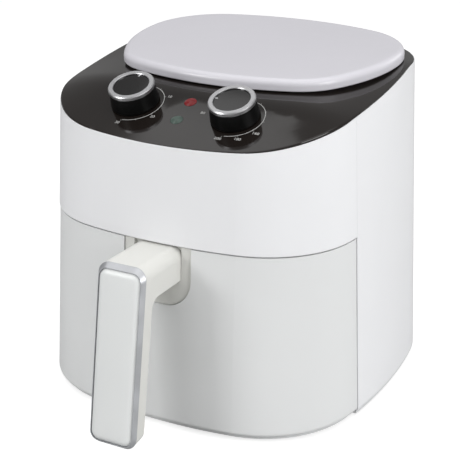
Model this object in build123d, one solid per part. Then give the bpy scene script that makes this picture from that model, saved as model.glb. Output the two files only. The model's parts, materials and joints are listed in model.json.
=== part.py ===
from build123d import *
from math import atan, cos, hypot, radians, sin, sqrt, tan
import os

# Hot-air fryer with a pull-out drawer, two rotary controls and a sloping top panel. Millimetres.
# Everything is drawn in the housing frame: Z = 0 is the lower edge of the white casing, Y = 0 is the
# middle of the casing, the drawer faces -Y. The finished pieces are then shifted so that the feet
# stand on Z = 0 with the whole object centred on the origin.

# ---- driving dimensions ------------------------------------------------------------------------
HALF_WIDTH = 150.0          # casing at its lower edge
HALF_DEPTH = 155.0
END_RADIUS = 403.0          # plan arcs: front and back, sides, corners
SIDE_RADIUS = 560.0
CORNER_RADIUS = 92.0
DRAFT = 2.8                 # degrees, the casing narrows upwards
WALL = 2.2
FOOT_HEIGHT = 5.5
SEAM_Z = 159.3              # lower edge of the front cover
SPLIT_Y = -58.4             # front cover and drawer meet the rear housing here
DRAWER_GAP = 1.0
DRAWER_INSET = 0.8          # the front cover overhangs the drawer by this much
EDGE_ROUND = 4.0

TOP_FLAT_Z = 276.5          # white top edge: level at the back, falling towards the front
TOP_FLAT_Y = 65.0

TILT = 22.0                 # slope of the control panel, and tilt of the knob and lamp axes
KNOB_X = 46.8
KNOB_Y = -98.9
PANEL_Z_AT_KNOBS = 258.8
PANEL_THICKNESS = 3.0
PANEL_GAP = 0.1
PANEL_SKIRT = 8.0
PANEL_EDGE_ROUND = 1.4
PANEL_LIP_INSET = 0.4
PANEL_SEAT_GAP = 0.05

LID_Z = 274.3               # underside of the lid at Y = 0
LID_SLOPE = 2.75
LID_THICKNESS = 10.2

KNOB_BASE_RADIUS = 20.6
KNOB_TOP_RADIUS = 19.0
KNOB_HEIGHT = 18.4
RING_RADIUS = 19.5
RING_BAND = 4.4
RING_DEPTH = 3.6
KNOB_CLEARANCE = 0.8
SHAFT_RADIUS = 3.0
SHAFT_CLEARANCE = 0.05
LAMP_RADIUS = 5.3
RED_LAMP_Y = -89.2
GREEN_LAMP_Y = -111.9

NOTCH_HALF_WIDTH = 31.9
NOTCH_DEPTH = 52.0
NOTCH_CORNER = 24.0
HANDLE_HALF_WIDTH = 22.0
HANDLE_LEAN = 8.55          # degrees, the grip leans outwards at the bottom
HANDLE_TOP_Z = 158.4
HANDLE_BOTTOM_Z = 8.6
HANDLE_TOP_Y = -196.4       # front of the handle body at its top
HANDLE_BODY_DEPTH = 11.5
STEM_BOTTOM_Z = 130.0
TRIM_DEPTH = 4.2
TRIM_FOOT = 0.5
TRIM_SIDE = 2.3
TRIM_TOP = 4.2
PLATE_CORNER = 7.6
PLATE_CROWN = 1.8
CROWN_RADIUS = 90.0
PLATE_EDGE_ROUND = 0.9
HANDLE_CORNER = 10.0

PAN_HALF = 108.0            # drawer pan at its rim
PAN_CORNER = 45.0
PAN_RIM_Z = 150.0
PAN_FLOOR_Z = 20.0
PAN_DRAFT = 3.0
SHEET = 1.5
FLANGE = 6.0

CHAMBER_HALF = 120.0
CHAMBER_BACK = 122.0
CHAMBER_FRONT = -104.0      # front wall of the heating space over the pan
CHAMBER_FLOOR_Z = 10.0
CHAMBER_TOP_Z = 212.0
LINER = 1.2
CHAMBER_CORNER = 50.0

TRAY_HALF = 97.5
TRAY_Z = 34.0

FAN_Y = 2.0                 # axis of the motor, fans and heater
FAN_RADIUS = 66.0

OUTLET_WIDTH = 112.0
OUTLET_Z = 205.0
OUTLET_HEIGHT = 54.0
GLAND_X = 0.0
GLAND_Z = 30.0
GLAND_REACH = 9.0

FAR = 400.0                 # larger than the casing in every direction


# ---- helpers -----------------------------------------------------------------------------------
def unit(dx, dy):
    length = hypot(dx, dy)
    return dx / length, dy / length


def arc_outline(half_width, y_front, y_back, y_side, r_front, r_back, r_side, r_corner_front,
                r_corner_back, inset=0.0):
    """Face bounded by eight tangent arcs, symmetric about X = 0, drawn inset from the full size."""
    side_centre = (half_width - r_side, y_side)

    def corner(y_centre, r_end, r_corner, pointing):
        # centre of the corner arc: inside both the end arc and the side arc by its own radius
        a = r_end - r_corner
        b = r_side - r_corner
        dx = side_centre[0]
        dy = side_centre[1] - y_centre
        span = hypot(dx, dy)
        along = (a * a - b * b + span * span) / (2 * span)
        across = sqrt(a * a - along * along)
        ux, uy = dx / span, dy / span
        first = (along * ux - across * uy, y_centre + along * uy + across * ux)
        second = (along * ux + across * uy, y_centre + along * uy - across * ux)
        centre = max((first, second), key=lambda c: (c[0], pointing * c[1]))
        ex, ey = unit(centre[0], centre[1] - y_centre)
        sx, sy = unit(centre[0] - side_centre[0], centre[1] - side_centre[1])
        mx, my = unit(ex + sx, ey + sy)
        end_point = (r_end - inset) * ex, y_centre + (r_end - inset) * ey
        side_point = (side_centre[0] + (r_side - inset) * sx,
                      side_centre[1] + (r_side - inset) * sy)
        middle = (centre[0] + (r_corner - inset) * mx, centre[1] + (r_corner - inset) * my)
        return end_point, middle, side_point

    front_end, front_mid, front_side = corner(y_front + r_front, r_front, r_corner_front, -1)
    back_end, back_mid, back_side = corner(y_back - r_back, r_back, r_corner_back, 1)

    def left(point):
        return -point[0], point[1]

    edges = [
        ThreePointArc(left(front_end), (0, y_front + inset), front_end),
        ThreePointArc(front_end, front_mid, front_side),
        ThreePointArc(front_side, (half_width - inset, y_side), back_side),
        ThreePointArc(back_side, back_mid, back_end),
        ThreePointArc(back_end, (0, y_back - inset), left(back_end)),
        ThreePointArc(left(back_end), left(back_mid), left(back_side)),
        ThreePointArc(left(back_side), (inset - half_width, y_side), left(front_side)),
        ThreePointArc(left(front_side), left(front_mid), left(front_end)),
    ]
    return make_face(Wire(edges))


def casing(inset=0.0, z_low=-6.0, bottom_round=0.0):
    """Solid of the casing's outside, set in by inset, from z_low to well above the lid."""
    face = arc_outline(HALF_WIDTH, -HALF_DEPTH, HALF_DEPTH, 0, END_RADIUS, END_RADIUS, SIDE_RADIUS,
                       CORNER_RADIUS, CORNER_RADIUS, inset + z_low * tan(radians(DRAFT)))
    solid = Pos(0, 0, z_low) * extrude(face, amount=300 - z_low, taper=DRAFT)
    if bottom_round:
        solid = fillet(solid.edges().group_by(Axis.Z)[0], bottom_round)
    return solid


def block(x0, x1, y0, y1, z0, z1):
    size = (x1 - x0, y1 - y0, z1 - z0)
    return Pos((x0 + x1) / 2, (y0 + y1) / 2, (z0 + z1) / 2) * Box(*size)


def slab(y0, y1, z0, z1):
    return block(-FAR, FAR, y0, y1, z0, z1)


def along_x(profile_edges, half_width=FAR):
    """Solid swept along X from a closed profile drawn as (y, z)."""
    face = Plane.YZ * make_face(Wire(profile_edges))
    return extrude(face, amount=half_width, both=True)


WHITE_KNEES = ((-93.9, 257.1), (TOP_FLAT_Y, TOP_FLAT_Z - 0.1))
WHITE_FRONT_SLOPE = 0.334
WHITE_RADII = (470.0, 200.0)


def under_white(shift=0.0):
    """Everything below the white top edge, moved up by shift."""
    knee_y, knee_z = WHITE_KNEES[0]
    start = (-FAR, knee_z - WHITE_FRONT_SLOPE * (knee_y + FAR))
    end = (FAR, WHITE_KNEES[1][1])
    top = FilletPolyline(start, *WHITE_KNEES, end, radius=WHITE_RADII)
    edges = list(top.edges()) + [
        Line(end, (FAR, -FAR)),
        Line((FAR, -FAR), (-FAR, -FAR)),
        Line((-FAR, -FAR), start),
    ]
    return Pos(0, 0, shift) * along_x(edges)


PANEL_KNEE = (-72.8, 269.4)
PANEL_REAR = (TOP_FLAT_Y, 277.3)
PANEL_FLAT_X = 72.0         # the panel is straight across to here, then curves down to the casing
PANEL_EDGE_X = 136.5
PANEL_LIP = 0.6
PANEL_GRID = 3.5
PANEL_REACH = (161, 175)


def smooth_turn(value, softness):
    """Zero for negative values, the value itself for large ones, rounded over softness between."""
    if value <= -softness:
        return 0.0
    if value >= softness:
        return value
    return (value + softness) ** 2 / (4 * softness)


def panel_middle_z(y):
    """Height of the panel along its middle: a slope, a rounded knee, a gentle rise, then level."""
    slope = tan(radians(TILT))
    rise = (PANEL_REAR[1] - PANEL_KNEE[1]) / (PANEL_REAR[0] - PANEL_KNEE[0])
    z = PANEL_KNEE[1] + slope * (y - PANEL_KNEE[0])
    z -= (slope - rise) * smooth_turn(y - PANEL_KNEE[0], 12.5)
    return z - rise * smooth_turn(y - PANEL_REAR[0], 14.0)


def white_z(y):
    """Height of the white top edge."""
    knee_y, knee_z = WHITE_KNEES[0]
    rise = (WHITE_KNEES[1][1] - knee_z) / (WHITE_KNEES[1][0] - knee_y)
    z = knee_z + WHITE_FRONT_SLOPE * (y - knee_y)
    z -= (WHITE_FRONT_SLOPE - rise) * smooth_turn(y - knee_y, 46.0)
    return z - rise * smooth_turn(y - WHITE_KNEES[1][0], 12.0)


def panel_z(x, y):
    """Height of the panel, which curves down at its sides to meet the white edge."""
    middle = panel_middle_z(y)
    drop = smooth_turn(middle - white_z(y) - PANEL_LIP, 0.8)
    across = max(0.0, abs(x) - PANEL_FLAT_X) / (PANEL_EDGE_X - PANEL_FLAT_X)
    return middle - drop * across ** 2


def panel_surface():
    steps_x = round(PANEL_REACH[0] / PANEL_GRID)
    steps_y = round(PANEL_REACH[1] / PANEL_GRID)
    rows = []
    for i in range(-steps_x, steps_x + 1):
        x = i * PANEL_GRID
        rows.append([Vector(x, j * PANEL_GRID, panel_z(x, j * PANEL_GRID))
                     for j in range(-steps_y, steps_y + 1)])
    return Face.make_surface_from_array_of_points(rows, tol=0.01, min_deg=3, max_deg=5)


PANEL_SURFACE = panel_surface()
PANEL_BLOCK = extrude(PANEL_SURFACE, amount=240, dir=(0, 0, -1))


def under_panel(shift=0.0):
    """Everything below the control panel's top surface, moved up by shift."""
    return Pos(0, 0, shift) * PANEL_BLOCK


def tilted(x, y, z):
    """Frame on the sloping panel: its Z is the knob axis, its Y runs up the slope."""
    return Plane(origin=(x, y, z), x_dir=(1, 0, 0), z_dir=(0, -sin(radians(TILT)), cos(radians(TILT))))


def on_panel(x, y):
    return tilted(x, y, panel_middle_z(y))


def rod(radius, z0, z1):
    return Pos(0, 0, (z0 + z1) / 2) * Cylinder(radius, z1 - z0)


def tube(outer, inner, z0, z1):
    return rod(outer, z0, z1) - rod(inner, z0 - 1, z1 + 1)


def rounded_plate(half_x, half_y, corner, z0, z1):
    return Pos(0, 0, z0) * extrude(RectangleRounded(2 * half_x, 2 * half_y, corner), z1 - z0)


def one(shape):
    """The single solid of a boolean result."""
    solids = shape.solids()
    return solids[0] if len(solids) == 1 else Compound(children=list(solids))


NODES = {}


def add(name, shape):
    NODES[name] = shape


# ---- casing ------------------------------------------------------------------------------------
BASE_TOP = 3.0
BASE_BOTTOM = -3.0
TONGUE_TOP = -0.6


def build_rear_housing():
    shell = casing(0, z_low=-1.5, bottom_round=EDGE_ROUND) - casing(WALL, z_low=-6)
    shell = (shell & slab(SPLIT_Y, FAR, -FAR, FAR)) & under_white()
    outlet = block(-OUTLET_WIDTH / 2, OUTLET_WIDTH / 2, 60, FAR, OUTLET_Z, OUTLET_Z + OUTLET_HEIGHT)
    gland_hole = Pos(GLAND_X, 0, GLAND_Z) * Rot(X=-90) * rod(7.2, 100, FAR)
    return one(shell - outlet - gland_hole)


def build_front_cover():
    floor_top = SEAM_Z + 2.4
    outer = casing(0, z_low=SEAM_Z, bottom_round=0)
    lower_edges = outer.edges().group_by(Axis.Z)[0]
    outer = chamfer(lower_edges, 0.7)
    body = outer - (casing(WALL) & slab(-FAR, FAR, floor_top, FAR))
    body = (body & slab(-FAR, SPLIT_Y - 0.2, SEAM_Z - 1, FAR)) & under_white()
    heat_opening = block(-CHAMBER_HALF - LINER - 0.5, CHAMBER_HALF + LINER + 0.5,
                         CHAMBER_FRONT - LINER - 0.5, FAR, SEAM_Z - 1, floor_top + 1)
    return one(body - heat_opening)


def build_base_plate():
    rear = casing(WALL) & slab(SPLIT_Y + 0.4, FAR, BASE_BOTTOM, BASE_TOP)
    tongue = casing(6) & slab(-FAR, SPLIT_Y + 1, BASE_BOTTOM, TONGUE_TOP)
    plate = rear + tongue
    for x, y in FOOT_PLACES:
        plate -= Pos(x, y, 0) * rod(6.0, BASE_BOTTOM - 1, BASE_BOTTOM + 1.4)
    for i in range(-3, 4):
        plate -= block(-34, 34, 40 + 9 * i, 43 + 9 * i, BASE_BOTTOM - 1, BASE_TOP + 1)
    return one(plate)


FOOT_PLACES = [(-52, -132), (52, -132), (-76, 108), (76, 108)]
FOOT_RADIUS = 9.5


def build_feet():
    feet = []
    for x, y in FOOT_PLACES:
        pad = rod(FOOT_RADIUS, -FOOT_HEIGHT, BASE_BOTTOM)
        pad = fillet(pad.edges().group_by(Axis.Z)[0], 1.0)
        feet.append(Pos(x, y, 0) * (pad + rod(6.0, BASE_BOTTOM - 0.5, BASE_BOTTOM + 1.4)))
    return Compound(children=feet)


def build_control_panel():
    """Sits on the casing's rim with a lip nearly flush outside and a skirt inside it."""
    solid = casing(PANEL_LIP_INSET) & under_panel()
    top_face = solid.faces().sort_by(Axis.Z)[-1]
    solid = fillet(top_face.edges(), PANEL_EDGE_ROUND)
    solid -= under_white(PANEL_SEAT_GAP) - casing(WALL + PANEL_GAP)
    solid = solid - under_white(-PANEL_SKIRT)
    solid = solid - (casing(WALL + PANEL_GAP + 2.4) & under_panel(-PANEL_THICKNESS))
    for x in (-KNOB_X, KNOB_X):
        solid -= tilted(x, KNOB_Y, PANEL_Z_AT_KNOBS) * rod(4.2, -12, 12)
    for y in (RED_LAMP_Y, GREEN_LAMP_Y):
        solid -= on_panel(0, y) * rod(LAMP_RADIUS + 0.1, -12, 12)
    return one(solid)


LID = dict(half_width=125.1, y_front=-62.6, y_back=133.2, y_side=50.3, r_front=245.0, r_back=271.0,
           r_side=150.0, r_corner_front=52.7, r_corner_back=71.8)
LID_NECK_INSET = 10.0


def build_top_lid():
    tilt = Pos(0, 0, LID_Z) * Rot(X=LID_SLOPE)
    plate = extrude(arc_outline(**LID), LID_THICKNESS)
    plate = fillet(plate.edges().group_by(Axis.Z)[-1], 5.5)
    plate = fillet(plate.edges().group_by(Axis.Z)[0], 1.2)
    neck = Pos(0, 0, -30) * extrude(arc_outline(**LID, inset=LID_NECK_INSET), 31)
    return one(tilt * (plate + neck) - under_panel())


# ---- controls ----------------------------------------------------------------------------------
POINTER_WIDTH = 1.6


def build_knob(prefix, x, pointer_angle):
    """Knob in four pieces: body, bright ring, gloss disc with its pointer, and the drive shaft."""
    frame = tilted(x, KNOB_Y, PANEL_Z_AT_KNOBS)
    skirt_top = KNOB_HEIGHT - RING_DEPTH
    body = Pos(0, 0, (KNOB_CLEARANCE + skirt_top) / 2) * Cone(
        KNOB_BASE_RADIUS, KNOB_TOP_RADIUS, skirt_top - KNOB_CLEARANCE)
    body = fillet(body.edges().group_by(Axis.Z)[0], 0.8)
    core = RING_RADIUS - RING_BAND
    body += rod(core - 0.02, skirt_top, KNOB_HEIGHT - 2.0)
    body -= rod(SHAFT_RADIUS, -1, 11)
    add(prefix + "_knob_body", frame * one(body))

    ring = tube(RING_RADIUS, core, skirt_top, KNOB_HEIGHT)
    top_edges = ring.edges().group_by(Axis.Z)[-1].sort_by(SortBy.RADIUS)
    ring = chamfer([top_edges[-1]], 0.8)
    ring = chamfer([ring.edges().group_by(Axis.Z)[-1].sort_by(SortBy.RADIUS)[0]], 0.5)
    ring = fillet(ring.edges().group_by(Axis.Z)[0].sort_by(SortBy.RADIUS)[-1], 0.4)
    pointer = Rot(Z=-pointer_angle) * block(-POINTER_WIDTH / 2, POINTER_WIDTH / 2, core - 2.6, core + 1.0,
                                            KNOB_HEIGHT - 2.0, KNOB_HEIGHT - 1.2)
    add(prefix + "_knob_ring", frame * one(ring + pointer))

    disc = rod(core - 0.05, KNOB_HEIGHT - 2.0, KNOB_HEIGHT - 1.3)
    pocket = Rot(Z=-pointer_angle) * block(-POINTER_WIDTH / 2, POINTER_WIDTH / 2, core - 2.6, core + 2,
                                           KNOB_HEIGHT - 3, KNOB_HEIGHT)
    add(prefix + "_knob_disc", frame * one(disc - pocket))

    shaft = rod(SHAFT_RADIUS, -24, 11)
    add(prefix + "_shaft", frame * shaft)


def build_timer():
    case = rounded_plate(19, 19, 3, -30, -6)
    bell = Pos(0, 0, -33.5) * Cylinder(17, 7)
    neck = rod(6, -7, -PANEL_THICKNESS)
    body = case + bell + neck - rod(SHAFT_RADIUS + SHAFT_CLEARANCE, -25, 5)
    return one(tilted(-KNOB_X, KNOB_Y, PANEL_Z_AT_KNOBS) * body)


def build_thermostat():
    body = rod(17, -24, -6) + rounded_plate(22, 9, 4, -9, -6) + rod(6, -7, -PANEL_THICKNESS)
    body = body + Pos(0, 0, -27) * Box(14, 20, 7) - rod(SHAFT_RADIUS + SHAFT_CLEARANCE, -25, 5)
    return one(tilted(KNOB_X, KNOB_Y, PANEL_Z_AT_KNOBS) * body)


def build_lamp(y):
    lens = rod(LAMP_RADIUS, -5, 0.5)
    dome = Pos(0, 0, 0.5 - 12.0) * Sphere(hypot(12.0, LAMP_RADIUS))
    dome = dome & rod(LAMP_RADIUS, 0.4, 6)
    return on_panel(0, y) * one(lens + dome)


def build_lamp_holder():
    middle = (RED_LAMP_Y + GREEN_LAMP_Y) / 2
    half = (RED_LAMP_Y - GREEN_LAMP_Y) / 2 / cos(radians(TILT))
    holder = rounded_plate(9, half + 9, 3, -15, -PANEL_THICKNESS)
    for w in (-half, half):
        holder -= Pos(0, w, 0) * rod(LAMP_RADIUS + 0.1, -5.0, 0)
    return one(on_panel(0, middle) * holder)


# ---- drawer ------------------------------------------------------------------------------------
DRAWER_BACK = SPLIT_Y - 0.6
DRAWER_TOP = SEAM_Z - DRAWER_GAP
INNER_PANEL_Y = -PAN_HALF - FLANGE


def notch_profile(clearance, z_top):
    """The U-shaped seat of the handle, open at the top, as a solid along Y."""
    half = NOTCH_HALF_WIDTH - clearance
    z_low = DRAWER_TOP - NOTCH_DEPTH + clearance
    height = z_top - z_low
    corner = NOTCH_CORNER - clearance
    bar = block(-half, half, -FAR, -100, z_low, z_top)
    lower = [e for e in bar.edges().filter_by(Axis.Y) if abs(e.center().Z - z_low) < 0.01]
    assert height > corner
    return fillet(lower, corner)


def build_drawer_front():
    shell = casing(DRAWER_INSET, z_low=0, bottom_round=EDGE_ROUND)
    shell -= casing(DRAWER_INSET + WALL, z_low=WALL) & slab(-FAR, FAR, WALL, FAR)
    shell = shell & slab(-FAR, DRAWER_BACK, -1, DRAWER_TOP)
    return one(shell - notch_profile(0, FAR))


def build_drawer_inner_panel():
    panel = casing(DRAWER_INSET + WALL) & slab(INNER_PANEL_Y - 3.0, INNER_PANEL_Y, WALL, DRAWER_TOP - 1.0)
    for x in (-SCREW_X, SCREW_X):
        panel -= Pos(x, 0, SCREW_Z) * Rot(X=90) * rod(2.1, 100, 160)
    return one(panel)


ESCUTCHEON_RECESS = 1.6
SEAT_Y = -141.5             # flat seat of the handle stem inside the escutcheon
SEAT_PLATE = 3.0
SCREW_X = 13.0
SCREW_Z = 140.0
STEM_CLEARANCE = 0.3


def build_escutcheon():
    skin = casing(DRAWER_INSET + ESCUTCHEON_RECESS) - casing(DRAWER_INSET + WALL + 2.4)
    plate = skin & notch_profile(0.5, DRAWER_TOP)
    flange_skin = casing(DRAWER_INSET + WALL) - casing(DRAWER_INSET + WALL + 2.4)
    flange = flange_skin & notch_profile(-5.0, DRAWER_TOP - 0.5)
    seat = block(-30, 30, SEAT_Y, SEAT_Y + SEAT_PLATE, STEM_BOTTOM_Z - 6, DRAWER_TOP)
    window_x = HANDLE_HALF_WIDTH + STEM_CLEARANCE
    window = block(-window_x, window_x, -FAR, SEAT_Y, STEM_BOTTOM_Z - STEM_CLEARANCE, FAR)
    body = plate + flange + seat - window
    for x in (-SCREW_X, SCREW_X):
        body += block(x - 5, x + 5, SEAT_Y + 1, INNER_PANEL_Y - 3.0, SCREW_Z - 6, SCREW_Z + 6)
    for x in (-SCREW_X, SCREW_X):
        body -= Pos(x, 0, SCREW_Z) * Rot(X=90) * rod(2.1, 100, 160)
    return one(body)


def handle_plane():
    """Frame at the middle of the handle body's front face: X right, Y up the grip, Z outwards."""
    lean = radians(HANDLE_LEAN)
    middle_z = (HANDLE_TOP_Z + HANDLE_BOTTOM_Z) / 2
    middle_y = HANDLE_TOP_Y - (HANDLE_TOP_Z - middle_z) * tan(lean)
    return Plane(origin=(0, middle_y, middle_z), x_dir=(1, 0, 0), z_dir=(0, -cos(lean), sin(lean)))


HANDLE_HALF_LENGTH = (HANDLE_TOP_Z - HANDLE_BOTTOM_Z) / 2 / cos(radians(HANDLE_LEAN))


def build_handle_body():
    lean = tan(radians(HANDLE_LEAN))
    front_top = (HANDLE_TOP_Y, HANDLE_TOP_Z)
    front_bottom = (HANDLE_TOP_Y - (HANDLE_TOP_Z - HANDLE_BOTTOM_Z) * lean, HANDLE_BOTTOM_Z)
    depth = HANDLE_BODY_DEPTH
    back_bottom = (front_bottom[0] + depth, HANDLE_BOTTOM_Z + depth * lean)
    stem_joint = (HANDLE_TOP_Y - (HANDLE_TOP_Z - STEM_BOTTOM_Z) * lean + depth, STEM_BOTTOM_Z)
    inner = SEAT_Y
    profile = Polyline(front_top, front_bottom, back_bottom, stem_joint, (inner, STEM_BOTTOM_Z),
                       (inner, HANDLE_TOP_Z - 0.5), front_top)
    body = extrude(Plane.YZ * make_face(profile), amount=HANDLE_HALF_WIDTH, both=True)

    def picked(test):
        return [e for e in body.edges() if test(e)]

    def at(e, y, z):
        c = e.center()
        return abs(c.Y - y) < 0.5 and abs(c.Z - z) < 0.5

    body = fillet(picked(lambda e: at(e, *stem_joint)), 10.0)
    corners = picked(lambda e: abs(e.length - hypot(depth, depth * lean)) < 0.1
                     and abs(abs(e.center().X) - HANDLE_HALF_WIDTH) < 0.1 and e.center().Z < 30)
    body = fillet(corners, HANDLE_CORNER)
    top = picked(lambda e: abs(abs(e.center().X) - HANDLE_HALF_WIDTH) < 0.1
                 and e.center().Z > HANDLE_TOP_Z - 2)
    body = fillet(top, HANDLE_CORNER)
    for x in (-SCREW_X, SCREW_X):
        body -= Pos(x, 0, SCREW_Z) * Rot(X=90) * rod(2.06, -SEAT_Y - 1, -SEAT_Y + 12.1)
    return one(body)


def handle_face(side_inset, top_inset, corner, height):
    """Rounded rectangle on the grip's front, inset from its sides, its bottom and its top."""
    size = (2 * (HANDLE_HALF_WIDTH - side_inset), 2 * HANDLE_HALF_LENGTH - side_inset - top_inset)
    return Pos(0, (side_inset - top_inset) / 2, height) * RectangleRounded(*size, corner)


def build_handle_trim():
    """Bevelled band round the face plate, wider over the top."""
    foot = extrude(handle_face(0, 0, HANDLE_CORNER, 0), TRIM_FOOT)
    bevel = loft([handle_face(0, 0, HANDLE_CORNER, TRIM_FOOT),
                  handle_face(TRIM_SIDE, TRIM_TOP, HANDLE_CORNER - TRIM_SIDE, TRIM_DEPTH)])
    hole = extrude(handle_face(TRIM_SIDE + 0.5, TRIM_TOP + 0.5, PLATE_CORNER, -1), TRIM_DEPTH + 2)
    return one(handle_plane() * (foot + bevel - hole))


def build_handle_plate():
    inset = 0.65
    outline = handle_face(TRIM_SIDE + inset, TRIM_TOP + inset, PLATE_CORNER - 0.15, 0)
    plate = extrude(outline, TRIM_DEPTH + PLATE_CROWN)
    across = Pos(0, 0, TRIM_DEPTH + PLATE_CROWN - CROWN_RADIUS) * Rot(X=90) * Cylinder(CROWN_RADIUS, FAR)
    plate = plate & across
    plate = fillet(plate.faces().sort_by(Axis.Z)[-1].edges(), PLATE_EDGE_ROUND)
    return one(handle_plane() * plate)


def build_drawer_pan():
    height = PAN_RIM_Z - PAN_FLOOR_Z
    shrink = height * tan(radians(PAN_DRAFT))
    low_half = PAN_HALF - shrink

    def bucket(inset, z0):
        half = low_half - inset + (z0 - PAN_FLOOR_Z) * tan(radians(PAN_DRAFT))
        corner = PAN_CORNER - PAN_HALF + half
        face = RectangleRounded(2 * half, 2 * half, corner)
        return Pos(0, 0, z0) * extrude(face, PAN_RIM_Z - z0, taper=-PAN_DRAFT)

    outer = bucket(0, PAN_FLOOR_Z)
    outer = fillet(outer.edges().group_by(Axis.Z)[0], 8)
    inner = bucket(SHEET, PAN_FLOOR_Z + SHEET)
    inner = fillet(inner.edges().group_by(Axis.Z)[0], 7)
    rim_half = PAN_HALF + FLANGE
    flange = rounded_plate(rim_half, rim_half, PAN_CORNER + FLANGE, PAN_RIM_Z - SHEET, PAN_RIM_Z)
    mouth_half = PAN_HALF - SHEET
    mouth = rounded_plate(mouth_half, mouth_half, PAN_CORNER - SHEET, PAN_RIM_Z - 3, PAN_RIM_Z + 1)
    return one((outer + flange) - inner - (mouth & slab(-FAR, FAR, PAN_RIM_Z - SHEET - 0.1, FAR)))


TRAY_WALL = 12.0
TRAY_CORNER = PAN_CORNER - 12
HOLE_PITCH = 15.0
HOLE_RADIUS = 4.0


def build_tray():
    plate = rounded_plate(TRAY_HALF, TRAY_HALF, TRAY_CORNER, TRAY_Z, TRAY_Z + TRAY_WALL)
    inside = TRAY_HALF - SHEET
    plate -= rounded_plate(inside, inside, TRAY_CORNER - SHEET, TRAY_Z + SHEET, TRAY_Z + 20)
    holes = []
    for i in range(-5, 6):
        for j in range(-5, 6):
            in_corner = abs(i) + abs(j) >= 9
            if (i, j) != (0, 0) and not in_corner:
                holes.append(Pos(i * HOLE_PITCH, j * HOLE_PITCH, TRAY_Z) * Cylinder(HOLE_RADIUS, 8))
    plate = plate - holes
    post = rod(5.0, TRAY_Z + SHEET - 0.2, TRAY_Z + 18)
    grip = Pos(0, 0, TRAY_Z + 22) * (Box(26, 7, 9))
    grip = fillet(grip.edges().filter_by(Axis.Y), 4)
    return one(plate + post + grip)


BUMPER_REACH = 2.2          # how far the silicone pads stand out of the tray's wall
BUMPER_PLACE = 60.0


def build_tray_bumpers():
    """Eight pads round the tray's wall and four feet under it."""
    pad = block(TRAY_HALF, TRAY_HALF + BUMPER_REACH, -6, 6, TRAY_Z + 1, TRAY_Z + 11)
    bumpers = []
    for turn in (0, 90, 180, 270):
        for offset in (-BUMPER_PLACE, BUMPER_PLACE):
            bumpers.append(Rot(Z=turn) * Pos(0, offset, 0) * pad)
    for x in (-70, 70):
        for y in (-70, 70):
            bumpers.append(Pos(x, y, 0) * rod(4.5, PAN_FLOOR_Z + SHEET + 0.3, TRAY_Z))
    return Compound(children=bumpers)


def build_handle_screws():
    screws = []
    for x in (-SCREW_X, SCREW_X):
        head_y = -INNER_PANEL_Y
        screw = Rot(X=90) * (rod(2.0, head_y - 1, -SEAT_Y + 12) + rod(4.0, head_y - 2.6, head_y))
        screws.append(Pos(x, 0, SCREW_Z) * screw)
    return Compound(children=screws)


# ---- inside the housing ------------------------------------------------------------------------
SENSOR_PLACE = (92.0, -66.0)
HEATER_Z = 176.0
HEATER_RADII = (60.0, 82.0)
HEATER_TUBE = 3.2
HEATER_LEG = 2.8
LEG_ANGLES = (radians(30), radians(46))
HEATER_LEGS = [(HEATER_RADII[1] * cos(a), FAN_Y + HEATER_RADII[1] * sin(a)) for a in LEG_ANGLES]
LINER_HOLES = [(0, FAN_Y, 7.0), (*SENSOR_PLACE, 2.9)] + [(x, y, 3.3) for x, y in HEATER_LEGS]


def build_chamber():
    outer = block(-CHAMBER_HALF - LINER, CHAMBER_HALF + LINER, CHAMBER_FRONT - LINER, CHAMBER_BACK + LINER,
                  CHAMBER_FLOOR_Z - LINER, CHAMBER_TOP_Z)
    outer = fillet(outer.edges().filter_by(Axis.Z), CHAMBER_CORNER + LINER)
    inner = block(-CHAMBER_HALF, CHAMBER_HALF, CHAMBER_FRONT, CHAMBER_BACK, CHAMBER_FLOOR_Z,
                  CHAMBER_TOP_Z - LINER)
    inner = fillet(inner.edges().filter_by(Axis.Z), CHAMBER_CORNER)
    liner = outer - inner
    liner -= slab(-FAR, SPLIT_Y + 3.0, -FAR, SEAM_Z + 0.2)
    for hole_x, hole_y, radius in LINER_HOLES:
        liner -= Pos(hole_x, hole_y, 0) * rod(radius, CHAMBER_TOP_Z - 5, CHAMBER_TOP_Z + 5)
    return one(liner)


def build_front_frame():
    frame = casing(WALL) & slab(SPLIT_Y + 0.5, SPLIT_Y + 3.0, BASE_TOP, SEAM_Z - 0.4)
    return one(frame - block(-CHAMBER_HALF, CHAMBER_HALF, -FAR, FAR, CHAMBER_FLOOR_Z, FAR))


def build_rails():
    rail_top = PAN_RIM_Z - SHEET - 0.3
    rails = []
    for side in (-1, 1):
        x0, x1 = sorted((side * (PAN_HALF + 4.6), side * CHAMBER_HALF))
        rails.append(block(x0, x1, SPLIT_Y + 5, CHAMBER_BACK - CHAMBER_CORNER - 1, rail_top - 5, rail_top))
    return Compound(children=rails)


def build_heating_element():
    """Two tube rings on one level, joined by a bridge."""
    inner_ring, outer_ring = (Pos(0, FAN_Y, HEATER_Z) * Torus(r, HEATER_TUBE) for r in HEATER_RADII)
    bridge_length = HEATER_RADII[1] - HEATER_RADII[0]
    bridge = Rot(Z=155) * Pos(sum(HEATER_RADII) / 2, 0, 0) * Box(bridge_length, 4, 4)
    return one(inner_ring + Pos(0, FAN_Y, HEATER_Z) * bridge + outer_ring)


def build_heater_terminals():
    """The two posts that carry the element and bring the current through the liner."""
    posts = []
    for x, y in HEATER_LEGS:
        post = rod(HEATER_LEG, HEATER_Z + HEATER_TUBE, CHAMBER_TOP_Z + 12)
        collar = rod(6, CHAMBER_TOP_Z, CHAMBER_TOP_Z + 5)
        posts.append(Pos(x, y, 0) * (post + collar))
    return Compound(children=posts)


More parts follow.
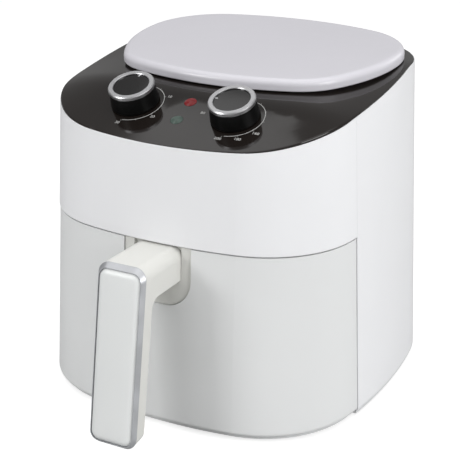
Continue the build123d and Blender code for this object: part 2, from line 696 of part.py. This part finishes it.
def build_reflector():
    plate = Pos(0, FAN_Y, 0) * rounded_plate(104, 100, 30, 184.0, 185.2)
    plate -= Pos(0, FAN_Y, 184) * Cylinder(34, 8)
    for x, y in HEATER_LEGS:
        plate -= Pos(x, y, 184) * Cylinder(5, 8)
    for x in (-80, 80):
        for y in (-84, 84):
            plate += Pos(x, FAN_Y + y, 0) * rod(3, 184.5, CHAMBER_TOP_Z - LINER)
    return one(plate)


def build_heater_guard():
    z = 167.0
    guard = None
    for radius in (22, 44, 66, 88):
        ring = Pos(0, FAN_Y, z) * Torus(radius, 1.25)
        guard = ring if guard is None else guard + ring
    guard += Pos(0, FAN_Y, z) * Rot(Y=90) * Cylinder(1.25, 2 * CHAMBER_HALF)
    guard += Pos(0, FAN_Y, z) * Rot(X=90) * Cylinder(1.25, 180)
    return one(guard)


def blade_wheel(radius, hub, z0, height, blades, bore):
    wheel = tube(hub, bore, z0 - 3, z0 + height) + tube(radius, bore, z0, z0 + 1.2)
    for i in range(blades):
        blade = block(hub + 1.0, radius - 1.5, -0.6, 0.6, z0 + 0.6, z0 + height)
        blade = Rot(Z=360.0 / blades * i) * blade
        wheel += blade
    wheel += tube(hub + 4, bore, z0, z0 + 1.2)
    return one(Pos(0, FAN_Y, 0) * wheel)


def build_motor():
    can = rod(29, 232, 258)
    can = fillet(can.edges().group_by(Axis.Z)[-1], 3)
    motor = can + rod(9, 229, 233)
    return one(Pos(0, FAN_Y, 0) * (motor - rod(SHAFT_RADIUS + SHAFT_CLEARANCE, 220, 254)))


def build_motor_bracket():
    plate = rounded_plate(58, 16, 5, 227.6, 229.0)
    bracket = plate - rod(12, 220, 240)
    for side in (-1, 1):
        bracket += block(side * 56.5 - 1.5, side * 56.5 + 1.5, -12, 12, CHAMBER_TOP_Z, 228)
    bracket += Pos(-20, 0, 0) * rod(3, 228.5, 232) + Pos(20, 0, 0) * rod(3, 228.5, 232)
    return one(Pos(0, FAN_Y, 0) * bracket)


def build_outlet_grille():
    half = OUTLET_WIDTH / 2
    face = casing(0.7) - casing(WALL)
    face = face & block(-half + 0.25, half - 0.25, 60, FAR, OUTLET_Z + 0.25, OUTLET_Z + OUTLET_HEIGHT - 0.25)
    flange = (casing(WALL) - casing(WALL + 1.8)) & block(-half - 5, half + 5, 60, FAR, OUTLET_Z - 5,
                                                       OUTLET_Z + OUTLET_HEIGHT + 5)
    grille = face + flange
    slot_half = half - 8
    for i in range(8):
        z = OUTLET_Z + 5.0 + 6.0 * i
        for x0, x1 in ((-slot_half, -1.5), (1.5, slot_half)):
            grille -= block(x0, x1, 60, FAR, z, z + 3.0)
    return one(grille)


def rear_y(z):
    return HALF_DEPTH - z * tan(radians(DRAFT))


def build_cord_gland():
    at_rear = rear_y(GLAND_Z)
    collar = rod(10, at_rear - 0.9, at_rear + 2.6)
    collar = fillet(collar.edges().group_by(Axis.Z)[-1], 1.0)
    nose = Pos(0, 0, at_rear + GLAND_REACH / 2) * Cone(6.4, 5.2, GLAND_REACH)
    throat = rod(7.0, at_rear - 8, at_rear + 1)
    nut = rod(10, at_rear - 8, at_rear)
    outside = collar + nose
    for i in range(3):
        outside -= tube(8, 4.9, at_rear + 4.0 + 1.7 * i, at_rear + 4.7 + 1.7 * i)
    place = Pos(GLAND_X, 0, GLAND_Z) * Rot(X=-90)
    body = (place * outside - casing()) + place * throat + ((place * nut) & casing(WALL))
    return one(body - place * rod(3.6, at_rear - 20, at_rear + 20))


def build_terminal_block():
    strip = block(20, 50, 127, 139, BASE_TOP, BASE_TOP + 16)
    for i in range(3):
        strip -= Pos(26 + 9 * i, 133, 0) * rod(1.8, BASE_TOP + 8, BASE_TOP + 20)
    return one(strip)


def build_thermal_cutout():
    tab = rounded_plate(13, 5, 2, CHAMBER_TOP_Z, CHAMBER_TOP_Z + 1.5)
    return one(Pos(-30, 66, 0) * (rod(8, CHAMBER_TOP_Z, CHAMBER_TOP_Z + 9) + tab))


def build_sensor_bulb():
    stem = rod(2.5, 190, CHAMBER_TOP_Z + 6)
    flange = rod(6, CHAMBER_TOP_Z, CHAMBER_TOP_Z + 1.5)
    return one(Pos(*SENSOR_PLACE, 0) * (stem + flange))


def build_door_switch():
    liner_x = -CHAMBER_HALF - LINER
    return block(liner_x - 8, liner_x, -52, -30, 60, 72)


def build_base_screws():
    screws = []
    for x, y in [(-100, 40), (100, 40), (-60, 128), (60, 128)]:
        screws.append(Pos(x, y, 0) * rod(3.4, BASE_BOTTOM - 1.6, BASE_BOTTOM))
    return Compound(children=screws)


# ---- everything --------------------------------------------------------------------------------
TIMER_POINTER = 0.0
TEMPERATURE_POINTER = -90.0


def build_all():
    add("rear_housing", build_rear_housing())
    add("front_cover", build_front_cover())
    add("base_plate", build_base_plate())
    add("feet", build_feet())
    add("control_panel", build_control_panel())
    add("top_lid", build_top_lid())
    build_knob("timer", -KNOB_X, TIMER_POINTER)
    build_knob("temperature", KNOB_X, TEMPERATURE_POINTER)
    add("timer_mechanism", build_timer())
    add("thermostat", build_thermostat())
    add("red_lamp", build_lamp(RED_LAMP_Y))
    add("green_lamp", build_lamp(GREEN_LAMP_Y))
    add("lamp_holder", build_lamp_holder())
    add("drawer_front", build_drawer_front())
    add("drawer_inner_panel", build_drawer_inner_panel())
    add("handle_escutcheon", build_escutcheon())
    add("handle_body", build_handle_body())
    add("handle_trim", build_handle_trim())
    add("handle_plate", build_handle_plate())
    add("handle_screws", build_handle_screws())
    add("drawer_pan", build_drawer_pan())
    add("crisper_tray", build_tray())
    add("tray_bumpers", build_tray_bumpers())
    add("cooking_chamber", build_chamber())
    add("front_frame", build_front_frame())
    add("drawer_rails", build_rails())
    add("heating_element", build_heating_element())
    add("heater_terminals", build_heater_terminals())
    add("reflector", build_reflector())
    add("heater_guard", build_heater_guard())
    add("convection_fan", blade_wheel(FAN_RADIUS, 9, 191, 14, 12, SHAFT_RADIUS))
    add("cooling_fan", blade_wheel(44, 8, 217, 8, 12, SHAFT_RADIUS))
    add("motor_shaft", Pos(0, FAN_Y, 0) * rod(SHAFT_RADIUS, 187, 253))
    add("fan_motor", build_motor())
    add("motor_bracket", build_motor_bracket())
    add("air_outlet_grille", build_outlet_grille())
    add("cord_gland", build_cord_gland())
    add("terminal_block", build_terminal_block())
    add("thermal_cutout", build_thermal_cutout())
    add("sensor_bulb", build_sensor_bulb())
    add("door_switch", build_door_switch())
    add("base_screws", build_base_screws())


build_all()
boxes = [shape.bounding_box() for shape in NODES.values()]
y_low = min(b.min.Y for b in boxes)
y_high = max(b.max.Y for b in boxes)
shift = Pos(0, -(y_low + y_high) / 2, FOOT_HEIGHT)
print("shift Y", -(y_low + y_high) / 2, "depth", y_high - y_low)
os.makedirs("parts", exist_ok=True)
for node_name, shape in NODES.items():
    export_step(shift * shape, "parts/" + node_name + ".step")
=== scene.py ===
import json
import math

import bpy
import bmesh
from mathutils import Matrix, Vector
from mathutils.bvhtree import BVHTree


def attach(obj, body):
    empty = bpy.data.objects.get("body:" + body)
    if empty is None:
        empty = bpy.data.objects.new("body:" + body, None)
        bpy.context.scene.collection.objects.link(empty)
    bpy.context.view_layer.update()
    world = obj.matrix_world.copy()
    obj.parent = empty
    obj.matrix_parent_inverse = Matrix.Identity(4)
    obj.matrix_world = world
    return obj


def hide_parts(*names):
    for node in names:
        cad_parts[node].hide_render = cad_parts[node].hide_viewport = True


# Hot-air fryer with a pull-out drawer. Metres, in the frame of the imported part.
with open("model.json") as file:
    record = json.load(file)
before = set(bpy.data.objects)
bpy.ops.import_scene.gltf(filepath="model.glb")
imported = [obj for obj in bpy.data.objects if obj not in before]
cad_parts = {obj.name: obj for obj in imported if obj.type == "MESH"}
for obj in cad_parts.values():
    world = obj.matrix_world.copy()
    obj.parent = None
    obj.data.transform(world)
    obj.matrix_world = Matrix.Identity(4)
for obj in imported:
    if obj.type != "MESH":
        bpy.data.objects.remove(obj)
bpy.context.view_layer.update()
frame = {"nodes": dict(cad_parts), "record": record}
NODES = frame["nodes"]


# ---- shader helpers ------------------------------------------------------------------------------
def new_material(name):
    material = bpy.data.materials.new(name)
    material.use_nodes = True
    tree = material.node_tree
    shader = tree.nodes["Principled BSDF"]
    return material, tree, shader


def link(tree, source, target):
    tree.links.new(source, target)


def object_coordinates(tree):
    return tree.nodes.new("ShaderNodeTexCoord").outputs["Object"]


def noise(tree, scale, detail=2.0, roughness=0.5, stretch=None):
    """Noise over the object's own coordinates; stretch squeezes it along chosen axes."""
    node = tree.nodes.new("ShaderNodeTexNoise")
    node.inputs["Scale"].default_value = scale
    node.inputs["Detail"].default_value = detail
    node.inputs["Roughness"].default_value = roughness
    coordinates = object_coordinates(tree)
    if stretch:
        mapping = tree.nodes.new("ShaderNodeMapping")
        mapping.inputs["Scale"].default_value = stretch
        link(tree, coordinates, mapping.inputs["Vector"])
        coordinates = mapping.outputs["Vector"]
    link(tree, coordinates, node.inputs["Vector"])
    return node.outputs["Fac"]


def ramp(tree, value, stops):
    """Colour ramp from (position, grey or rgb) stops."""
    node = tree.nodes.new("ShaderNodeValToRGB")
    elements = node.color_ramp.elements
    while len(elements) < len(stops):
        elements.new(0.5)
    for element, (position, colour) in zip(elements, stops):
        element.position = position
        if not hasattr(colour, "__len__"):
            colour = (colour, colour, colour)
        element.color = (*colour, 1.0)
    link(tree, value, node.inputs["Fac"])
    return node.outputs["Color"]


def bump(tree, shader, heights, strength, distance):
    node = tree.nodes.new("ShaderNodeBump")
    node.inputs["Strength"].default_value = strength
    node.inputs["Distance"].default_value = distance
    link(tree, heights, node.inputs["Height"])
    link(tree, node.outputs["Normal"], shader.inputs["Normal"])


def moulded_plastic(name, colour, roughness, grain=0.0, coat=0.0, variation=0.012, specular=0.5):
    """Injection-moulded plastic: faint mottling of colour and gloss, with an optional fine texture."""
    material, tree, shader = new_material(name)
    dark = [c * (1 - variation) for c in colour]
    light = [min(1.0, c * (1 + variation)) for c in colour]
    mottle = ramp(tree, noise(tree, 9.0, 3.0), [(0.3, dark), (0.7, light)])
    link(tree, mottle, shader.inputs["Base Color"])
    rough = ramp(tree, noise(tree, 34.0, 4.0),
                 [(0.3, roughness * 0.92), (0.7, min(1.0, roughness * 1.08))])
    link(tree, rough, shader.inputs["Roughness"])
    shader.inputs["Specular IOR Level"].default_value = specular
    shader.inputs["Coat Weight"].default_value = coat
    shader.inputs["Coat Roughness"].default_value = 0.12
    if grain:
        bump(tree, shader, noise(tree, 2600.0, 2.0), 0.35, grain)
    return material


def metal(name, colour, roughness, brushed=None):
    """Bare metal; brushed is the stretch of its streaks, or None for a plain finish."""
    material, tree, shader = new_material(name)
    shader.inputs["Metallic"].default_value = 1.0
    stretch = brushed or (1, 1, 1)
    streaks = noise(tree, 420.0 if brushed else 60.0, 3.0, 0.6, stretch)
    dark = [c * 0.93 for c in colour]
    light = [min(1.0, c * 1.05) for c in colour]
    link(tree, ramp(tree, streaks, [(0.3, dark), (0.7, light)]), shader.inputs["Base Color"])
    rough = ramp(tree, streaks, [(0.3, roughness * 0.8), (0.7, min(1.0, roughness * 1.25))])
    link(tree, rough, shader.inputs["Roughness"])
    if brushed:
        bump(tree, shader, streaks, 0.12, 0.00004)
    return material


SLOPE = math.radians(22.0)      # of the control panel
PANEL_RIGHT = Vector((1, 0, 0))
PANEL_UP = Vector((0, math.cos(SLOPE), math.sin(SLOPE)))
PANEL_NORMAL = Vector((0, -math.sin(SLOPE), math.cos(SLOPE)))
KNOB_CENTRES = {
    "timer": Vector((-0.0468, -0.06802, 0.2643)),
    "temperature": Vector((0.0468, -0.06802, 0.2643)),
}
LAMP_CENTRES = {
    "red": Vector((0.0, -0.05832, 0.26822)),
    "green": Vector((0.0, -0.08102, 0.25905)),
}


def vector_math(tree, operation, first, second):
    """Vector maths node; each operand is a socket, a fixed vector or None."""
    node = tree.nodes.new("ShaderNodeVectorMath")
    node.operation = operation
    for socket, value in zip(node.inputs, (first, second)):
        if value is None:
            continue
        if hasattr(value, "is_linked"):
            link(tree, value, socket)
        else:
            socket.default_value = value
    return node


def spun_metal(name, colour, roughness, centre):
    """Metal turned on a lathe: fine rings round the knob's axis."""
    material, tree, shader = new_material(name)
    shader.inputs["Metallic"].default_value = 1.0
    offset = vector_math(tree, "SUBTRACT", object_coordinates(tree), tuple(centre)).outputs["Vector"]
    across = vector_math(tree, "CROSS_PRODUCT", offset, tuple(PANEL_NORMAL)).outputs["Vector"]
    radius = vector_math(tree, "LENGTH", across, None).outputs["Value"]
    rings = tree.nodes.new("ShaderNodeTexNoise")
    rings.noise_dimensions = "1D"
    rings.inputs["Scale"].default_value = 5200.0
    rings.inputs["Detail"].default_value = 2.0
    link(tree, radius, rings.inputs["W"])
    heights = rings.outputs["Fac"]
    dark = [c * 0.86 for c in colour]
    link(tree, ramp(tree, heights, [(0.3, dark), (0.7, colour)]), shader.inputs["Base Color"])
    rough = ramp(tree, heights, [(0.3, roughness * 0.8), (0.7, roughness * 1.3)])
    link(tree, rough, shader.inputs["Roughness"])
    bump(tree, shader, heights, 0.25, 0.00003)
    return material


def lens_material(name, colour):
    material, tree, shader = new_material(name)
    link(tree, ramp(tree, noise(tree, 320.0, 2.0), [(0.35, [c * 0.8 for c in colour]), (0.7, colour)]),
         shader.inputs["Base Color"])
    shader.inputs["Roughness"].default_value = 0.10
    shader.inputs["Specular IOR Level"].default_value = 0.35
    return material


# ---- materials -----------------------------------------------------------------------------------
MATERIALS = {
    "white_casing": moulded_plastic("white_casing", (0.81, 0.815, 0.83),
                                    0.36, grain=0.00001, coat=0.15),
    "drawer_white": moulded_plastic("drawer_white", (0.725, 0.735, 0.735),
                                    0.38, grain=0.00001, coat=0.12),
    "panel_black": moulded_plastic("panel_black", (0.0115, 0.0090, 0.0078),
                                   0.085, variation=0.08, specular=0.36),
    "lid_grey": moulded_plastic("lid_grey", (0.60, 0.59, 0.63), 0.34, coat=0.1),
    "knob_black": moulded_plastic("knob_black", (0.0022, 0.0022, 0.0022),
                                  0.36, grain=0.00001, variation=0.1, specular=0.14),
    "knob_gloss": moulded_plastic("knob_gloss", (0.006, 0.0055, 0.0055),
                                  0.08, variation=0.08, specular=0.38),
    "brushed_silver": metal("brushed_silver", (0.74, 0.74, 0.75), 0.26),
    "handle_cream": moulded_plastic("handle_cream", (0.665, 0.665, 0.635), 0.42, grain=0.00001),
    "handle_plate_white": moulded_plastic("handle_plate_white", (0.735, 0.75, 0.745),
                                          0.40, coat=0.05),
    "trim_silver": metal("trim_silver", (0.52, 0.53, 0.55), 0.46),
    "red_lens": lens_material("red_lens", (0.20, 0.003, 0.006)),
    "green_lens": lens_material("green_lens", (0.062, 0.096, 0.080)),
    "nonstick": moulded_plastic("nonstick", (0.028, 0.028, 0.030),
                                0.38, grain=0.00003, variation=0.15),
    "liner_steel": metal("liner_steel", (0.60, 0.60, 0.61), 0.35, brushed=(1, 1, 0.05)),
    "heater_steel": metal("heater_steel", (0.30, 0.27, 0.25), 0.45),
    "rubber_black": moulded_plastic("rubber_black", (0.035, 0.035, 0.036), 0.8, grain=0.00003),
    "silicone": moulded_plastic("silicone", (0.20, 0.20, 0.21), 0.6),
    "dark_plastic": moulded_plastic("dark_plastic", (0.06, 0.06, 0.064), 0.5, grain=0.00003),
    "base_white": moulded_plastic("base_white", (0.68, 0.69, 0.69), 0.5, grain=0.00003),
    "screw_steel": metal("screw_steel", (0.55, 0.55, 0.56), 0.3),
    "motor_steel": metal("motor_steel", (0.40, 0.40, 0.41), 0.45),
    "fan_aluminium": metal("fan_aluminium", (0.72, 0.72, 0.73), 0.35, brushed=(1, 0.1, 1)),
    "electric_white": moulded_plastic("electric_white", (0.72, 0.71, 0.67), 0.5),
}
SLOT_OF = {row["node"]: row["material_slot"] for row in frame["record"]["subparts"]}
for node_name, node in NODES.items():
    for slot in node.material_slots:
        slot.material = MATERIALS[SLOT_OF[node_name]]
for knob, centre in KNOB_CENTRES.items():
    spun = spun_metal("spun_silver_" + knob, (0.50, 0.50, 0.51), 0.33, centre)
    for slot in NODES[knob + "_knob_ring"].material_slots:
        slot.material = spun


# ---- meshes --------------------------------------------------------------------------------------
def mesh_object(name, bm, material, smooth=True):
    data = bpy.data.meshes.new(name)
    bmesh.ops.recalc_face_normals(bm, faces=bm.faces)
    bm.to_mesh(data)
    bm.free()
    for polygon in data.polygons:
        polygon.use_smooth = smooth
    obj = bpy.data.objects.new(name, data)
    bpy.context.scene.collection.objects.link(obj)
    data.materials.append(material)
    return obj


def place_on_panel(centre):
    """Matrix from a flat drawing (x right, y up the slope, z outwards) to the panel at centre."""
    matrix = Matrix((PANEL_RIGHT, PANEL_UP, PANEL_NORMAL)).transposed().to_4x4()
    matrix.translation = centre
    return matrix


def lathe(profile, segments=64):
    """Closed surface turned round Z from (radius, z) points that start and end on the axis."""
    bm = bmesh.new()
    rings = []
    for radius, z in profile:
        if radius == 0:
            rings.append([bm.verts.new((0, 0, z))])
            continue
        rings.append([bm.verts.new((radius * math.cos(2 * math.pi * i / segments),
                                    radius * math.sin(2 * math.pi * i / segments), z))
                      for i in range(segments)])
    for low, high in zip(rings, rings[1:]):
        for i in range(segments):
            j = (i + 1) % segments
            corners = [low[i % len(low)], low[j % len(low)], high[j % len(high)], high[i % len(high)]]
            unique = list(dict.fromkeys(corners))
            if len(unique) > 2:
                bm.faces.new(unique)
    return bm


# ---- print round the two dials -------------------------------------------------------------------
PRINT_LIFT = 0.00004
PRINT_HEIGHT = 0.00008
ARC_RADII = (0.02405, 0.02455)
ARC_STEPS = 72
TICK_RADII = (0.02475, 0.0257)
TICK_HALF_ANGLE = 0.35          # degrees
MERGE_DISTANCE = 0.000001
NUMBER_SIZE = 0.0042


def clock_point(angle, radius, z):
    """Point on the panel at a clock angle in degrees, clockwise from the top."""
    turn = math.radians(angle)
    return Vector((radius * math.sin(turn), radius * math.cos(turn), z))


def strip(bm, start, end, inner, outer, steps):
    """Thin raised band along an arc, as a closed solid."""
    sections = []
    for i in range(steps + 1):
        angle = start + (end - start) * i / steps
        sections.append([bm.verts.new(clock_point(angle, radius, z))
                         for radius, z in ((inner, PRINT_LIFT), (outer, PRINT_LIFT),
                                           (outer, PRINT_LIFT + PRINT_HEIGHT),
                                           (inner, PRINT_LIFT + PRINT_HEIGHT))])
    for low, high in zip(sections, sections[1:]):
        for i in range(4):
            j = (i + 1) % 4
            bm.faces.new((low[i], low[j], high[j], high[i]))
    bm.faces.new(sections[0])
    bm.faces.new(sections[-1])


def number_mesh(text):
    """Generic dial number as a thin solid mesh centred on the origin."""
    curve = bpy.data.curves.new("dial_number", "FONT")
    curve.body = text
    curve.size = NUMBER_SIZE
    curve.align_x = "CENTER"
    curve.align_y = "CENTER"
    curve.extrude = PRINT_HEIGHT / 2
    curve.resolution_u = 3
    helper = bpy.data.objects.new("dial_number", curve)
    bpy.context.scene.collection.objects.link(helper)
    graph = bpy.context.evaluated_depsgraph_get()
    mesh = bpy.data.meshes.new_from_object(helper.evaluated_get(graph))
    bpy.data.objects.remove(helper)
    bpy.data.curves.remove(curve)
    return mesh


# Clock angles in degrees; each number is its text, clock angle and radius.
DIAL_PRINT = {
    "timer": {"arc": (2, 178), "ticks": range(0, 181, 30),
              "numbers": (("10", 62, 0.0288), ("20", 121, 0.0284), ("30", 183, 0.0286))},
    "temperature": {"arc": (2, 176), "ticks": range(30, 181, 30),
                    "numbers": (("80", 269, 0.0296), ("160", 121, 0.0296), ("180", 151, 0.0290),
                                ("200", 184, 0.0284))},
}


RAY_START = 0.01                # above the print, well clear of the panel


def lay_on_panel(bm, centre):
    """Let a flat drawing follow the panel's curve, keeping each point's height above it."""
    panel = NODES["control_panel"]
    corners = [panel.matrix_world @ vertex.co for vertex in panel.data.vertices]
    surface = BVHTree.FromPolygons(corners, [tuple(face.vertices) for face in panel.data.polygons])
    for vertex in bm.verts:
        height = (vertex.co - centre).dot(PANEL_NORMAL)
        hit = surface.ray_cast(vertex.co + RAY_START * PANEL_NORMAL, -PANEL_NORMAL)[0]
        if hit is not None:
            vertex.co = hit + height * PANEL_NORMAL


def build_dial_print(knob):
    facts = DIAL_PRINT[knob]
    bm = bmesh.new()
    strip(bm, *facts["arc"], *ARC_RADII, ARC_STEPS)
    for tick in facts["ticks"]:
        strip(bm, tick - TICK_HALF_ANGLE, tick + TICK_HALF_ANGLE, *TICK_RADII, 1)
    for text, angle, radius in facts["numbers"]:
        mesh = number_mesh(text)
        mesh.transform(Matrix.Translation(clock_point(angle, radius, PRINT_LIFT + PRINT_HEIGHT / 2)))
        bm.from_mesh(mesh)
        bpy.data.meshes.remove(mesh)
    bmesh.ops.remove_doubles(bm, verts=bm.verts, dist=MERGE_DISTANCE)
    bm.transform(place_on_panel(KNOB_CENTRES[knob]))
    lay_on_panel(bm, KNOB_CENTRES[knob])
    obj = mesh_object(knob + "_dial_print", bm, DIAL_INK, smooth=False)
    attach(obj, "housing")


DIAL_INK = moulded_plastic("dial_ink", (0.50, 0.50, 0.49), 0.55, variation=0.05)
for knob in DIAL_PRINT:
    build_dial_print(knob)


# ---- grip face -----------------------------------------------------------------------------------
GRIP_LEAN = math.radians(8.55)
GRIP_MIDDLE = Vector((0, -0.176781, 0.089))
PLATE_HALF = (0.01905, 0.07184)     # half width, half length
PLATE_CENTRE_UP = -0.00095
PLATE_CORNER = 0.0076
PLATE_EDGE_HEIGHT = 0.0030
PLATE_MIDDLE_HEIGHT = 0.0059
PLATE_SOFT_EDGE = 0.0055
PLATE_FOOT = 0.0002
PLATE_INSETS = (0.0, 0.0, 0.0002, 0.0006, 0.0012, 0.002, 0.003, 0.0042, 0.0055, 0.008, 0.011,
                0.014, 0.017)
PLATE_LEAST_CORNER = 0.0009
CREASE_ANGLE = math.radians(50)


def rounded_outline(half_x, half_y, corner, steps=8):
    """Points round a rounded rectangle, counter-clockwise."""
    points = []
    for turn, (cx, cy) in enumerate(((1, 1), (-1, 1), (-1, -1), (1, -1))):
        for i in range(steps + 1):
            angle = math.pi / 2 * (turn + i / steps)
            points.append((cx * (half_x - corner) + corner * math.cos(angle),
                           cy * (half_y - corner) + corner * math.sin(angle)))
    return points


def build_grip_face():
    """Face plate of the grip: crowned across and softly rounded at its edges."""
    half_x, half_y = PLATE_HALF
    bm = bmesh.new()
    rings = []
    for index, inset in enumerate(PLATE_INSETS):
        outline = rounded_outline(half_x - inset, half_y - inset,
                                  max(PLATE_CORNER - inset, PLATE_LEAST_CORNER))
        ring = []
        for x, y in outline:
            soft = 1 - min(inset / PLATE_SOFT_EDGE, 1.0)
            crown = (PLATE_MIDDLE_HEIGHT - PLATE_EDGE_HEIGHT) * (1 - 0.45 * (x / half_x) ** 2)
            z = PLATE_FOOT if index == 0 else PLATE_EDGE_HEIGHT + crown * (1 - soft ** 2.4)
            ring.append(bm.verts.new((x, y + PLATE_CENTRE_UP, z)))
        rings.append(ring)
    for low, high in zip(rings, rings[1:]):
        for i in range(len(low)):
            j = (i + 1) % len(low)
            bm.faces.new((low[i], low[j], high[j], high[i]))
    bm.faces.new(rings[-1])
    bm.faces.new(rings[0])
    normal = Vector((0, -math.cos(GRIP_LEAN), math.sin(GRIP_LEAN)))
    up = Vector((0, math.sin(GRIP_LEAN), math.cos(GRIP_LEAN)))
    place = Matrix((PANEL_RIGHT, up, normal)).transposed().to_4x4()
    place.translation = GRIP_MIDDLE
    bm.transform(place)
    obj = mesh_object("grip_face", bm, MATERIALS["handle_plate_white"])
    obj.data.set_sharp_from_angle(angle=CREASE_ANGLE)
    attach(obj, "drawer")
    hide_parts("handle_plate")


build_grip_face()


# ---- lamp lenses ---------------------------------------------------------------------------------
LENS_RADIUS = 0.00525
LENS_RIBS = 5


def build_lamp(colour):
    """Lens with a stepped, ribbed dome over a straight skirt."""
    profile = [(0, -0.0048), (LENS_RADIUS * 0.96, -0.0048), (LENS_RADIUS, -0.0045),
               (LENS_RADIUS, 0.0001), (LENS_RADIUS * 0.97, 0.0004), (LENS_RADIUS * 0.86, 0.0005),
               (LENS_RADIUS * 0.82, 0.0003)]
    for i in range(LENS_RIBS):
        share = 0.78 - 0.155 * i
        crown = 0.0013 - 0.0010 * share * share
        profile += [(LENS_RADIUS * share, crown), (LENS_RADIUS * (share - 0.09), crown + 0.00034),
                    (LENS_RADIUS * (share - 0.13), crown + 0.00002)]
    profile += [(0, 0.0015)]
    bm = lathe(profile)
    bm.transform(place_on_panel(LAMP_CENTRES[colour]))
    obj = mesh_object(colour + "_lamp_lens", bm, MATERIALS[colour + "_lens"])
    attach(obj, "housing")
    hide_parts(colour + "_lamp")


build_lamp("red")
build_lamp("green")


# ---- stage, light and camera ---------------------------------------------------------------------
FLOOR_SIZE = 40.0
BACKDROP_STRENGTH = 0.72        # of the floor's own glow, seen by the camera alone
WORLD_STRENGTH = 0.38
LIGHTS = {                      # place, target, size, power
    "top": ((0, -0.3, 1.9), (0, -0.1, 0.1), (2.4, 2.4), 22.0),
    "left_front": ((-0.85, -1.3, 0.85), (0, -0.1, 0.17), (0.5, 0.5), 9.0),
    "right": ((1.9, -0.42, 0.9), (0, 0, 0.2), (1.2, 1.2), 24.0),
    "rear": ((0.9, 1.9, 1.0), (0, 0, 0.1), (0.9, 0.6), 4.5),
}


def build_stage():
    bpy.ops.mesh.primitive_plane_add(size=FLOOR_SIZE, location=(0, 0, 0))
    floor = bpy.context.object
    floor.name = "floor"
    material, tree, shader = new_material("floor_white")
    shader.inputs["Roughness"].default_value = 0.9
    shader.inputs["Emission Color"].default_value = (1.0, 1.0, 1.0, 1.0)
    backdrop = tree.nodes.new("ShaderNodeMath")
    backdrop.operation = "MULTIPLY"
    backdrop.inputs[1].default_value = BACKDROP_STRENGTH
    link(tree, tree.nodes.new("ShaderNodeLightPath").outputs["Is Camera Ray"], backdrop.inputs[0])
    link(tree, backdrop.outputs["Value"], shader.inputs["Emission Strength"])
    link(tree, ramp(tree, noise(tree, 3.0), [(0.3, 0.44), (0.7, 0.46)]), shader.inputs["Base Color"])
    floor.data.materials.append(material)


def area_light(name, place, target, size, power):
    data = bpy.data.lights.new(name, "AREA")
    data.shape = "RECTANGLE"
    data.size, data.size_y = size
    data.energy = power
    lamp = bpy.data.objects.new(name, data)
    lamp.location = place
    lamp.rotation_euler = (Vector(target) - Vector(place)).to_track_quat("-Z", "Y").to_euler()
    bpy.context.scene.collection.objects.link(lamp)


def build_lights():
    world = bpy.data.worlds.new("studio")
    world.use_nodes = True
    background = world.node_tree.nodes["Background"]
    background.inputs["Color"].default_value = (1.0, 1.0, 1.0, 1.0)
    background.inputs["Strength"].default_value = WORLD_STRENGTH
    bpy.context.scene.world = world
    for name, facts in LIGHTS.items():
        area_light(name, *facts)


CAMERA_PLACE = (0.51316, -0.95099, 0.55788)
CAMERA_AZIMUTH = 28.068         # degrees round Z from the straight-on front view
CAMERA_ELEVATION = 21.322
CAMERA_ROLL = 0.281
CAMERA_LENS = 101.74            # mm on a 36 mm sensor


def build_camera():
    data = bpy.data.cameras.new("camera")
    data.lens = CAMERA_LENS
    data.sensor_width = 36.0
    data.clip_end = 20.0
    camera = bpy.data.objects.new("camera", data)
    azimuth, elevation = math.radians(CAMERA_AZIMUTH), math.radians(CAMERA_ELEVATION)
    back = Vector((math.sin(azimuth) * math.cos(elevation), -math.cos(azimuth) * math.cos(elevation),
                   math.sin(elevation)))
    right = Vector((math.cos(azimuth), math.sin(azimuth), 0))
    up = back.cross(right)
    roll = math.radians(CAMERA_ROLL)
    rolled_right = right * math.cos(roll) + up * math.sin(roll)
    rolled_up = up * math.cos(roll) - right * math.sin(roll)
    matrix = Matrix((rolled_right, rolled_up, back)).transposed().to_4x4()
    matrix.translation = Vector(CAMERA_PLACE)
    camera.matrix_world = matrix
    bpy.context.scene.collection.objects.link(camera)
    bpy.context.scene.camera = camera


build_stage()
build_lights()
build_camera()
bpy.context.scene.view_settings.view_transform = "Standard"
